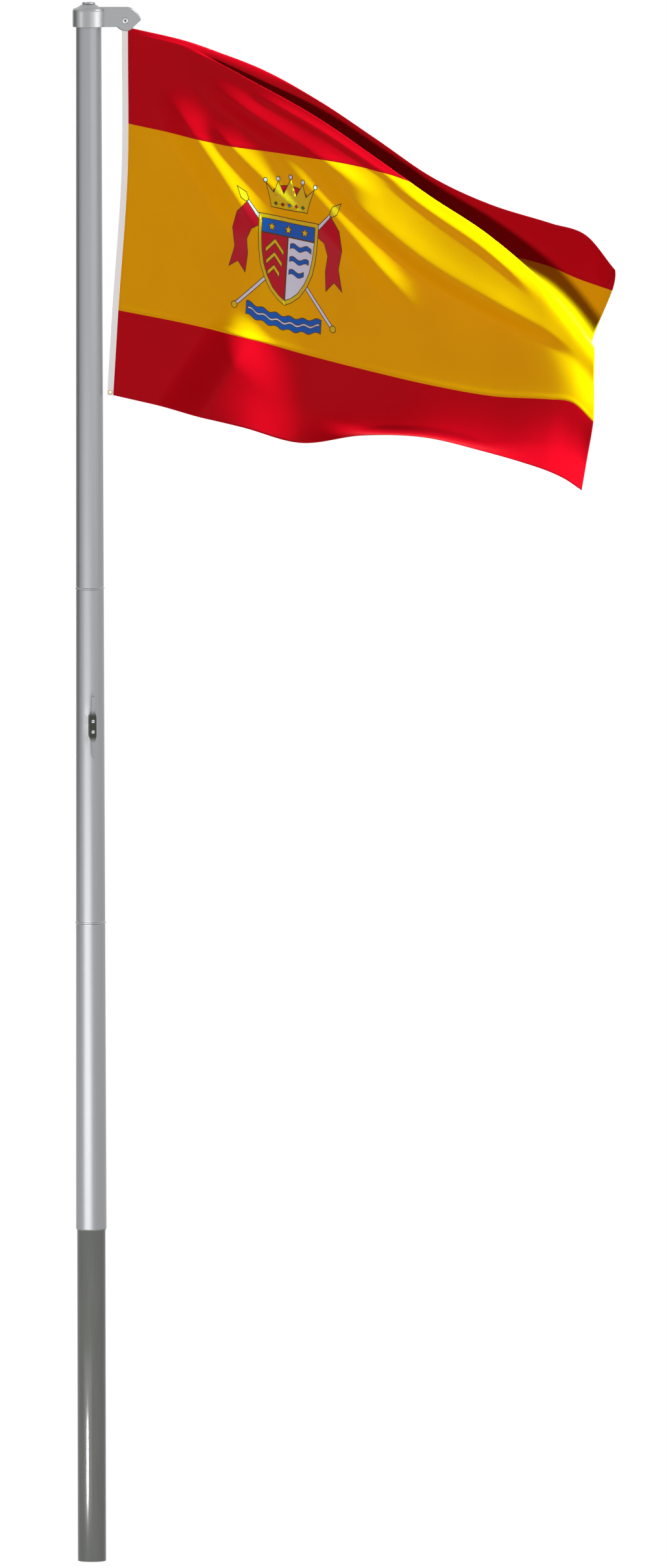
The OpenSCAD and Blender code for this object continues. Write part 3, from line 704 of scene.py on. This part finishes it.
# %% Crest outlines
SHIELD = [(0, -101), (18, -92), (38, -76), (55, -52), (67, -25), (73, 6), (76, 42), (76, 84), (0, 79)]
FIELD = [(0, -91), (16, -83), (33, -69), (48, -47), (59, -22), (65, 7), (68, 40), (68, 44), (0, 44)]
CHIEF = [(68, 44), (68, 75), (0, 71)]
STAFF = along_staff([(-4.5, -176), (4.5, -176), (4.5, 150), (-4.5, 150)])
FINIAL = along_staff([(0, 146), (6, 150), (10, 163), (0, 188), (-10, 163), (-6, 150)])
FERRULE = along_staff(disc(0, -176, 8))
PENNANT = [(66, 60), (92, 46), (102, 22), (98, -10), (102, -52), (122, -30), (144, -46), (132, 0), (139, 40),
           (130, 78), (106, 104)]
CORONET = [(46, 100), (51, 120), (63, 152), (41, 133), (31, 158), (16, 133), (0, 164)]
LINING = [(47, 112), (42, 138), (22, 148), (0, 151)]
GEM = [(0, -4.5), (5.5, 0), (0, 4.5), (-5.5, 0)]
CREST_PATCHES = [
    (0, "pale", STAFF), (0, "pale", mirrored(STAFF)), (1, "gold", FINIAL), (1, "gold", mirrored(FINIAL)),
    (1, "gold", FERRULE), (1, "gold", mirrored(FERRULE)), (1, "red", PENNANT), (1, "red", mirrored(PENNANT)),
    (1, "red", both_sides(LINING)), (2, "gold", both_sides(CORONET)),
    (2, "gold", both_sides(SHIELD[:-1])), (3, "red", mirrored(FIELD)), (3, "pale", FIELD),
    (4, "blue", both_sides(CHIEF[:-1])),
    (1, "blue", wavy_bar(-96, 96, -136, 2.5, 30, 12)), (2, "pale", wavy_bar(-92, 92, -136, 2.5, 6, 12)),
]
for x in (-42, 0, 42):
    CREST_PATCHES.append((5, "gold", star(x, 59, 12)))
for y, half in ((24, 24), (-4, 21), (-31, 16)):
    CREST_PATCHES.append((4, "gold", chevron(-32, y, half, 12)))
for y, end in ((25, 61), (-2, 56), (-29, 45)):
    CREST_PATCHES.append((4, "blue", wavy_bar(6, end, y, 3, 11)))
for x, colour in ((-34, "green"), (-17, "red"), (0, "blue"), (17, "red"), (34, "green")):
    CREST_PATCHES.append((3, colour, [(x + gx, 110 + gy) for gx, gy in GEM]))
for x, y in ((-63, 154), (-31, 160), (0, 167), (31, 160), (63, 154)):
    CREST_PATCHES.append((3, "pale", disc(x, y, 5.5, 10)))
print("crest patches:", len(CREST_PATCHES))

# %% [markdown]
# ## Crest thread
# The patches are filled with satin stitch: smooth threads, side by side, that catch the light a little more
# than the cloth does. A slanting wave over the same flat map makes them. Real threads are about 0.4 mm
# wide, and these are as coarse as the cloth's yarns, for the same reason.

# %% Crest thread
def sewn_thread(name, hex_colour, low_hex):
    material, shader = start_material(name, hex_colour, 0.5)
    shader.inputs["Specular IOR Level"].default_value = 0.1
    flat = node(material, "ShaderNodeUVMap", uv_map="cloth")
    threads = yarns(material, flat, "DIAGONAL")
    tint_and_dent(material, shader, threads, linear(low_hex), linear(hex_colour), threads, 0.3, 0.25 * MM)
    return material


THREADS = {
    # A dark line that keeps each patch apart from the yellow
    "rim": sewn_thread("dark_brown_thread", "#5E3A12", "#4A2C0C"),
    # Lighter than the cloth, so that it stands out on it
    "gold": sewn_thread("gold_thread", "#F0C21C", "#D9A90F"),
    # Near the red of the stripes
    "red": sewn_thread("red_thread", "#CE1128", "#B80D22"),
    # The palest spots of the flag
    "pale": sewn_thread("pale_lilac_thread", "#EADFF0", "#D6C8DF"),
    # The only cool colours: small, clear marks
    "blue": sewn_thread("blue_thread", "#1C5FC4", "#174FA6"),
    "green": sewn_thread("green_thread", "#168A5E", "#11724D"),
}
print("threads:", list(THREADS))

# %% [markdown]
# ## Sewing the crest on
# A printed pattern could lie in the cloth's colour, but a sewn patch has an edge that catches the light. So
# each outline is a face of its own, with an inset for its dark rim. Cuts every few millimetres let it bend,
# and the cloth's function then lays it on the flag. Layers keep one patch over another, a quarter of a
# millimetre apart, and the back of the flag has the same crest.

# %% Crest patches
CREST_MIDDLE = np.array((0.322, 0.478))
CREST_SCALE, CREST_RIM, CREST_CUT, CREST_PLY, CREST_LIFT = 1.12, 1.6, 5, 0.25 * MM, 0.3 * MM
CREST_LOW, CREST_HIGH = -170, 200


def crest(name, side):
    """All the patches of one side as one piece: side is 1 for the flag's front and -1 for its back"""
    form = bmesh.new()
    kinds = list(THREADS)
    for layer, colour, outline in CREST_PATCHES:
        face = form.faces.new([form.verts.new((x, y, layer)) for x, y in outline])
        face.normal_update()
        rim = bmesh.ops.inset_region(form, faces=[face], thickness=CREST_RIM, use_boundary=True,
                                     use_even_offset=True)
        for made in rim["faces"]:
            made.material_index = kinds.index("rim")
        face.material_index = kinds.index(colour)
    bmesh.ops.triangulate(form, faces=form.faces[:])
    for edge in form.edges:
        edge.smooth = not edge.is_boundary
    for axis in (Vector((1, 0, 0)), Vector((0, 1, 0))):
        for at in range(CREST_LOW, CREST_HIGH, CREST_CUT):
            everything = form.verts[:] + form.edges[:] + form.faces[:]
            bmesh.ops.bisect_plane(form, geom=everything, plane_co=axis * at, plane_no=axis)
    drawn = np.array([vert.co for vert in form.verts])
    u, v = (CREST_MIDDLE + drawn[:, :2] * CREST_SCALE * MM / np.array((FLY, HOIST))).T
    height = side * (CREST_LIFT + CREST_PLY * (1 + drawn[:, 2]))
    for vert, place in zip(form.verts, cloth(u, v) + cloth_normal(u, v) * height[:, None]):
        vert.co = place
    map_flat(form, u, v)
    if side < 0:
        bmesh.ops.reverse_faces(form, faces=form.faces[:])
    piece = new_piece(name, form, THREADS["rim"])
    for kind in kinds[1:]:
        piece.data.materials.append(THREADS[kind])
    ply = piece.modifiers.new("patch thickness", "SOLIDIFY")
    ply.thickness = CREST_PLY
    ply.offset = -1
    fly_with_flag(piece)
    return piece


front_crest = crest("front_crest", 1)
back_crest = crest("back_crest", -1)
print("crest faces:", len(front_crest.data.polygons), len(back_crest.data.polygons))

# %% [markdown]
# ## What the cloth is
# A sheet of cloth has a flat size that no fold can change.

# %% Say what the cloth is
OUTER_STRIPE, MIDDLE_STRIPE = 0.225, 0.45
for piece, width, sewn_on in ((top_stripe, OUTER_STRIPE, []),
                              (middle_stripe, MIDDLE_STRIPE, [front_crest, back_crest]),
                              (bottom_stripe, OUTER_STRIPE, [])):
    print("sheet:", piece.name, "flat", width, "by", FLY, "m")

# %% [markdown]
# ## Finishes with a grain
# Drawn, turned, cast, plated and moulded surfaces differ in the grain that their making leaves. Noise gives
# them all: stretched along the tube for drawn metal, pressed flat round it for turned metal, and even for
# the rest. It tints the surface a little and dents it a little less. Anisotropic shading could stretch the
# highlights instead, but it shows no lines from near by. Smooth shading stops at real edges.

# %% Grained finishes
SHARP = math.radians(34)


def finish_node(name, material, *groups):
    """Give a solid from the frame its finish, smooth over its rounds and sharp at its edges"""
    piece = frame["nodes"][name]
    piece.data.materials.clear()
    piece.data.materials.append(material)
    piece.data.shade_smooth()
    piece.data.set_sharp_from_angle(angle=SHARP)
    for group in groups:
        group.objects.link(piece)


def grained(name, low, high, roughness, metallic, grain, strength, detail=4.0, breakup=0.5, relief=0.2):
    """Noise with a grain of so many mm along x, y and z, between two tones; relief is in mm too"""
    material, shader = start_material(name, low, roughness, metallic)
    place = node(material, "ShaderNodeTexCoord").outputs["Object"]
    stretch = tuple(1 / (size * MM) for size in grain)
    mapped = node(material, "ShaderNodeMapping", {"Vector": place, "Scale": stretch})
    noise = node(material, "ShaderNodeTexNoise",
                 {"Vector": mapped, "Scale": 1.0, "Detail": detail, "Roughness": breakup})
    tint_and_dent(material, shader, noise, linear(low), linear(high), noise, strength, relief * MM)
    return material


print("grained finishes are sharp over", round(math.degrees(SHARP)), "degrees")

# %% [markdown]
# ## Tubes and rings
# The tubes are extruded aluminium, anodised to a satin finish: the die leaves fine lines along the tube, and
# the acid bath leaves a soft, wide highlight. The rings at the joints are turned on a lathe, so their
# grooves run round, and they are a little brighter.

# %% Tubes and rings
# Satin anodised aluminium: a grey that takes the soft boxes as long, blurred bands
tube_metal = grained("satin_anodised_aluminium", "#94969A", "#A3A4A6", 0.42, 1.0, (2.5, 2.5, 400), 0.25,
                     detail=3.0, breakup=0.6)
for name in ("lower_section", "middle_section", "upper_section", "top_plug"):
    finish_node(name, tube_metal, pole_pieces)
# Turned aluminium: a thin bright line where two tubes meet
ring_metal = grained("turned_aluminium", "#9B9D9F", "#AEB0B1", 0.34, 1.0, (125, 125, 0.6), 0.3,
                     detail=2.0, relief=0.1)
for name in ("lower_joint_ring", "upper_joint_ring"):
    finish_node(name, ring_metal, pole_pieces)
print("tubes:", tube_metal.name, "rings:", ring_metal.name)

# %% [markdown]
# ## Sleeve and bush
# The sleeve goes into the ground, so it is a dark plastic tube that can't rust. An extruded wall is glossy
# and not quite even, and long, shallow waves along it break up the edge of the glint. The bush on top of it
# is moulded from another plastic, which is pale and dull.

# %% Sleeve and bush
# Extruded plastic: dark and half glossy, with one small glint
sleeve_plastic = grained("extruded_grey_plastic", "#646661", "#7A7C76", 0.16, 0.0, (14, 14, 160), 0.12,
                         breakup=0.6)
finish_node("ground_sleeve", sleeve_plastic, sleeve_pieces)
# Nylon: a pale, dull ring between two shiny tubes
nylon = grained("moulded_grey_nylon", "#BDBFBE", "#CDCFCE", 0.5, 0.0, (3, 3, 3), 0.2)
finish_node("sleeve_bush", nylon, pole_pieces)
print("sleeve:", sleeve_plastic.name, "bush:", nylon.name)

# %% [markdown]
# ## Cleat
# The cleat is a grey casting, almost as light as the tube. Its block in the middle has painted shade: a dark
# colour that stands for the shadow round it. The shade could be painted on by hand, but here the distance
# from the cleat's middle sets it and noise makes its border uneven, so it fits a cleat of any size.

# %% Cleat
SHADE_FADE_START_SHARE, SHADE_FADE_END_SHARE, SHADE_EDGE_UNEVEN, CAST_GRAIN = 0.19, 0.31, 8 * MM, 3 * MM


def cleat_with_painted_shade():
    material, shader = start_material("cast_cleat_with_painted_shade", "#3A3E36", 0.4, 0.75)
    low, high = (corner[2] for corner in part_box("cleat"))
    place = node(material, "ShaderNodeTexCoord").outputs["Object"]
    up = node(material, "ShaderNodeSeparateXYZ", {0: place}).outputs[2]
    away = node(material, "ShaderNodeMath", {0: up, 1: (low + high) / 2}, operation="SUBTRACT")
    away = node(material, "ShaderNodeMath", {0: away}, operation="ABSOLUTE")
    noise = node(material, "ShaderNodeTexNoise", {"Vector": place, "Scale": 1 / CAST_GRAIN, "Detail": 4.0})
    shade_distance = node(material, "ShaderNodeMath", {0: noise, 1: SHADE_EDGE_UNEVEN, 2: away}, operation="MULTIPLY_ADD")
    # Painted shade: dark near the middle, where the cleat's block lies in shadow, fading out to the cast grey
    # of the horns
    out_of_shade = node(material, "ShaderNodeMapRange",
                {"Value": shade_distance, "From Min": SHADE_FADE_START_SHARE * (high - low),
                 "From Max": SHADE_FADE_END_SHARE * (high - low)}, interpolation_type="SMOOTHSTEP")
    tint_and_dent(material, shader, out_of_shade, linear("#3A3E36"), linear("#979A9A"), noise, 0.35, 0.2 * MM)
    return material


# Painted shade: the cleat's middle block is coloured dark as shade, with horns that fade into the tube
lacquer = cleat_with_painted_shade()
finish_node("cleat", lacquer, pole_pieces)
print("cleat:", lacquer.name)

# %% [markdown]
# ## Head and screws
# The head is cast and sprayed with silver lacquer, so it is duller than the tubes and faintly mottled. Screws
# and nut are zinc plated. A screw's slot lies in shadow, so its faces get painted shade, and from afar that
# dark mark is what tells a screw from a rivet. A dark cross laid on the head would do from the front, but
# giving the slot's own faces the painted shade keeps its shape from every side.

# %% Head and screws
# Silver lacquer: an even mid grey on the arm, with two soft highlights on the round collar
head_lacquer = grained("silver_lacquered_casting", "#9EA0A1", "#A9AAAB", 0.36, 0.9, (2.5, 2.5, 2.5), 0.2)
for name in ("swivel_head", "head_button"):
    finish_node(name, head_lacquer, pole_pieces, head_pieces)
# Zinc plate: small bright dots
zinc_plate = grained("zinc_plated_steel", "#C4C6C8", "#DADCDE", 0.28, 1.0, (1.5, 1.5, 1.5), 0.15)
for name in ("upper_cleat_screw", "lower_cleat_screw"):
    finish_node(name, zinc_plate, pole_pieces)
for name in ("arm_screw", "arm_nut"):
    finish_node(name, zinc_plate, pole_pieces, head_pieces)
print("head:", head_lacquer.name, "screws:", zinc_plate.name)

# %% Slots of the screws
# Painted shade: the cross slot is coloured dark, for the shadow in its recess
slot_painted_shade, shader = start_material("painted_shade_in_slot", "#2A2A2A", 0.8)
SLOT_REACH_SHARE, SLOT_LIP, SLOT_FLOOR, CLEAT_TURN = 0.66, 0.2 * MM, 2.5 * MM, math.radians(7)


def fill_slot(name, out):
    """Give the painted shade to the faces that lie behind the flat of a screw's head, near its axis"""
    mesh = frame["nodes"][name].data
    mesh.materials.append(slot_painted_shade)
    front = max(vert.co.dot(out) for vert in mesh.vertices)
    flat = [vert.co for vert in mesh.vertices if front - vert.co.dot(out) < SLOT_LIP]
    axis = Vector([(min(c) + max(c)) / 2 for c in zip(*flat)])
    widest = max((vert.co - axis).cross(out).length for vert in mesh.vertices)
    for face in mesh.polygons:
        behind = front - face.center.dot(out)
        beside = (face.center - axis).cross(out).length
        if SLOT_LIP < behind < SLOT_FLOOR and beside < SLOT_REACH_SHARE * widest:
            face.material_index = 1
    print("slot faces of", name, sum(face.material_index for face in mesh.polygons))


fill_slot("arm_screw", Vector((0, -1, 0)))
for name in ("upper_cleat_screw", "lower_cleat_screw"):
    fill_slot(name, Vector((math.sin(CLEAT_TURN), -math.cos(CLEAT_TURN), 0)))

# %% [markdown]
# ## Header and grommets
# The flag's hoist edge is sewn into a strip of close white webbing, with a brass ring at each end. The strip
# has ribs along and across, so it takes the same two waves as the cloth. It hangs almost straight, so the
# waves can read its place in the air, and it needs no flat map of its own.

# %% Header and grommets
def woven_tape():
    material, shader = start_material("white_polyester_tape", "#EAE7E6", 0.8)
    place = node(material, "ShaderNodeTexCoord").outputs["Object"]
    weave = yarns(material, place, "X", "Z")
    tint_and_dent(material, shader, weave, linear("#DEDAD9"), linear("#F0EDEC"), weave, 0.4, 0.3 * MM)
    return material


# Webbing: a dull, warm white line between the pole and the colours
webbing = woven_tape()
finish_node("flag_header", webbing, white_pieces)
# Brass: two small yellow rings
brass = grained("stamped_brass", "#A88B4C", "#C2A766", 0.3, 1.0, (1.5, 1.5, 1.5), 0.2)
for name in ("top_grommet", "bottom_grommet"):
    finish_node(name, brass, pole_pieces)
print("header:", webbing.name, "grommets:", brass.name)
